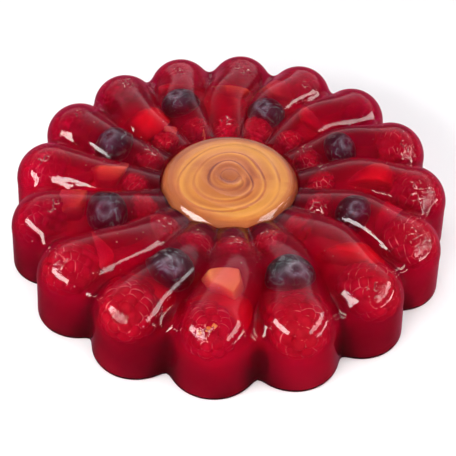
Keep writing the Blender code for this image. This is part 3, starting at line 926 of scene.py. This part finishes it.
def cloudyJelly(tree):  # soft crimson without gloss, with a painted glow beside bright fruit and painted shade in the grooves, on the lower walls and round the blueberries
    glow = addNode(tree, "Attribute", {"attribute_name": "glow"}).outputs["Fac"]
    shade = addNode(tree, "Attribute", {"attribute_name": "shade"}).outputs["Fac"]
    haze = hazeColour(tree)
    paintedGlow = addNode(tree, "Mix", {"data_type": "RGBA", "Factor": glow, "A": haze, "B": hazeLook["glow"]})
    paintedShade = addNode(tree, "Mix", {"data_type": "RGBA", "Factor": shade, "A": paintedGlow, "B": hazeLook["grooveShade"]})
    return {"Surface": addNode(tree, "BsdfPrincipled", {
        "Base Color": paintedShade, "Roughness": 0.8, "Specular IOR Level": 0.05})}


def nearness(points, spots, reach):  # 1 at a spot, fading to nothing past its reach
    away = np.linalg.norm(points[:, None, :] - np.array(spots)[None, :, :], axis=2)
    return np.clip(np.exp(-(away / reach) ** 2).sum(1), 0, 1)


heart = sunkBody("red_jelly_heart", heartForm, cloudMesh)
settle(heart, makeMaterial("cloudy_raspberry_gelatine", cloudyJelly))
points = pointsOf(heart) / mm
depth, radius, turn = sunkDepth(points)
brightSpots = [jellyPlace(*cut[1:5]) / mm for cut in cutFruit.values()]
# points just under each blueberry, where a painted shadow is centred
berryShadowSpots = [jellyPlace(number, out, side, height - 3) / mm
             for number, (out, side, height, *_) in blueberries.items()]
grooveGlowSpots = [jellyPlace(0.5, 73, 0, 19) / mm, jellyPlace(1.5, 75, 0, 17) / mm]  # painted glow between these petals, standing in for red fruit seen in the grooves
lit = nearness(points, grooveGlowSpots, heartForm["grooveGlow"])
# painted shade in the outer grooves, lifted where the painted glow is
grooveShade = share(np.abs(turn), pitch * 0.34, pitch * 0.5) * share(radius, 58, 76) * (1 - 0.9 * lit)
# painted shade on the lower walls, heavier beside the grooves
wall = (0.42 + 0.45 * share(np.abs(turn), pitch * 0.26, pitch * 0.38)) * share(-points[:, 2], -15, -9)
# painted shadow round each blueberry
berryShadow = 0.7 * nearness(points, berryShadowSpots, heartForm["shadeReach"])
mark(heart, "glow", 0.8 * np.maximum(nearness(points, brightSpots, heartForm["glowReach"]), lit))
mark(heart, "shade", np.clip(wall + grooveShade + berryShadow, 0, 1))
print("cloudy heart made")


# films of air that stayed between a berry and the skin: a broken web over the berry's small round drupelets,
# painted pale as their reflection
filmForm = {
    "under": 0.45, "cell": 0.24, "polygon": 2.3, "uneven": 0.75, "thin": 0.16, "thick": 0.6,
    "thickness": 0.07, "kept": 0.5, "spread": 1.25, "step": 0.05}  # millimetres; kept is a share


def skinPatch(f, spot, flat):  # lays a flat patch on the jelly's skin from inside
    depth = sunkDepth(np.array([spot + way * f["step"] for axis in np.eye(3) for way in (axis, -axis)]))[0]
    out = depth[1::2] - depth[::2]
    out /= np.linalg.norm(out)
    aside = np.cross((0, 0, 1), out)
    aside /= np.linalg.norm(aside)
    spread = spot + flat[:, :1] * aside + flat[:, 1:2] * np.cross(out, aside)
    for _ in range(5):
        spread += out * (sunkDepth(spread)[0] - f["under"])[:, None]
    return spread


def webFaces(f, middle, reach, dice):  # where the film shows: outlines of uneven polygons, some left out
    steps = np.arange(-reach - f["polygon"], reach + f["polygon"] * 1.5, f["polygon"])
    seeds = np.array([(x, y) for x in steps for y in steps])
    seeds = seeds + dice.uniform(-1, 1, seeds.shape) * f["uneven"]
    away = np.linalg.norm(middle[:, None, :] - seeds[None, :, :], axis=2)
    nearest = np.sort(np.argsort(away, axis=1)[:, :2], axis=1)
    gap = np.diff(np.sort(away, axis=1)[:, :2], axis=1)[:, 0]
    shown, width, end = (dice.random((len(seeds),) * 2)[nearest[:, 0], nearest[:, 1]] for _ in range(3))
    inReach = np.linalg.norm(middle, axis=1) < reach * (0.6 + 0.4 * end)
    return (gap < f["thin"] + (f["thick"] - f["thin"]) * width) & (shown < f["kept"]) & inReach


def filmPatch(f, spot, reach, dice):
    count = int(2 * reach / f["cell"])
    piece = addPrimitive("film", bpy.ops.mesh.primitive_grid_add, x_subdivisions=count, y_subdivisions=count,
                         size=2 * reach)
    flat = pointsOf(piece)[:, :2]
    corners = np.empty(len(piece.data.polygons) * 4, dtype=np.int32)
    piece.data.polygons.foreach_get("vertices", corners)
    shown = webFaces(f, flat[corners.reshape(-1, 4)].mean(1), reach, dice)
    setPoints(piece, skinPatch(f, spot, flat) * mm)
    editMesh(piece)
    bpy.ops.mesh.select_mode(type="FACE")
    leaveMesh()
    piece.data.polygons.foreach_set("select", ~shown)
    bpy.ops.object.mode_set(mode="EDIT")
    bpy.ops.mesh.delete(type="FACE")
    bpy.ops.mesh.select_mode(type="VERT")
    leaveMesh()
    modify(piece, "SOLIDIFY", thickness=f["thickness"] * mm)
    return piece


def airFilmGlint(tree):  # a thin layer of air in gelatine: painted pale as its reflection, with painted glints in brighter flecks
    place = addNode(tree, "TexCoord").outputs["Object"]
    fleck = addNode(tree, "TexNoise", {"Vector": place, "Scale": 700, "Detail": 2})
    stops = [(0.4, "98404A"), (0.52, "D08480"), (0.64, "FFDCD4")]
    tint = addNode(tree, "ValToRGB", {"Fac": fleck, "stops": stops})
    return {"Surface": addNode(tree, "BsdfPrincipled", {"Base Color": tint, "Roughness": 0.25})}


filmDice = np.random.default_rng(7)
films = [filmPatch(filmForm, np.array(jellyPlace(*spot)) / mm, reach * filmForm["spread"], filmDice)
         for *spot, reach in crinkles]
film = joinPieces(films, "air_film_web")
settle(film, makeMaterial("air_film_painted_glints", airFilmGlint))
print("air films laid", len(film.data.polygons), "faces")


# air bubbles caught under the skin as the jelly set
bubbleForm = {"count": 150, "size": (0.13, 0.32), "under": (0.9, 2.4), "near": 0.3, "flat": 0.9,
              "out": (36, 86), "side": (-11, 11), "height": (18, 31)}  # least and most, in millimetres


def layBubbles(f):
    dice = random.Random(12)
    kind = addPrimitive("bubble", bpy.ops.mesh.primitive_uv_sphere_add, segments=8, ring_count=5, radius=mm)
    made = []
    while len(made) < f["count"]:
        petal = dice.randint(1, petalForm["count"])
        out, side, height, under = (dice.uniform(*f[k]) for k in ("out", "side", "height", "under"))
        spot = jellyPlace(petal, out, side, height)
        if abs(sunkDepth(np.array([spot]) / mm)[0][0] - under) > f["near"]:
            continue
        size = dice.uniform(*f["size"])
        shape = Matrix.Diagonal((size, size, size * f["flat"], 1))
        made.append(copyPiece(kind, "bubble_%03d" % len(made), Matrix.Translation(spot) @ shape))
    bpy.data.objects.remove(kind)
    return joinPieces(made, "jelly_bubbles")


def bubbleGlint(tree):  # a film of air against the jelly: a painted glint, pale as its reflection, some paler than others
    place = addNode(tree, "TexCoord").outputs["Object"]
    each = addNode(tree, "TexNoise", {"Vector": place, "Scale": 260, "Detail": 1})
    tint = addNode(tree, "Mix", {"data_type": "RGBA", "Factor": each, "A": "B04050", "B": "FFE4DC"})
    return {"Surface": addNode(tree, "BsdfPrincipled", {"Base Color": tint, "Roughness": 0.15, "IOR": 1.33})}


bubbles = layBubbles(bubbleForm)
smoothFaces(bubbles, 80)
settle(bubbles, makeMaterial("air_bubble_painted_glint", bubbleGlint))
print("bubbles laid")
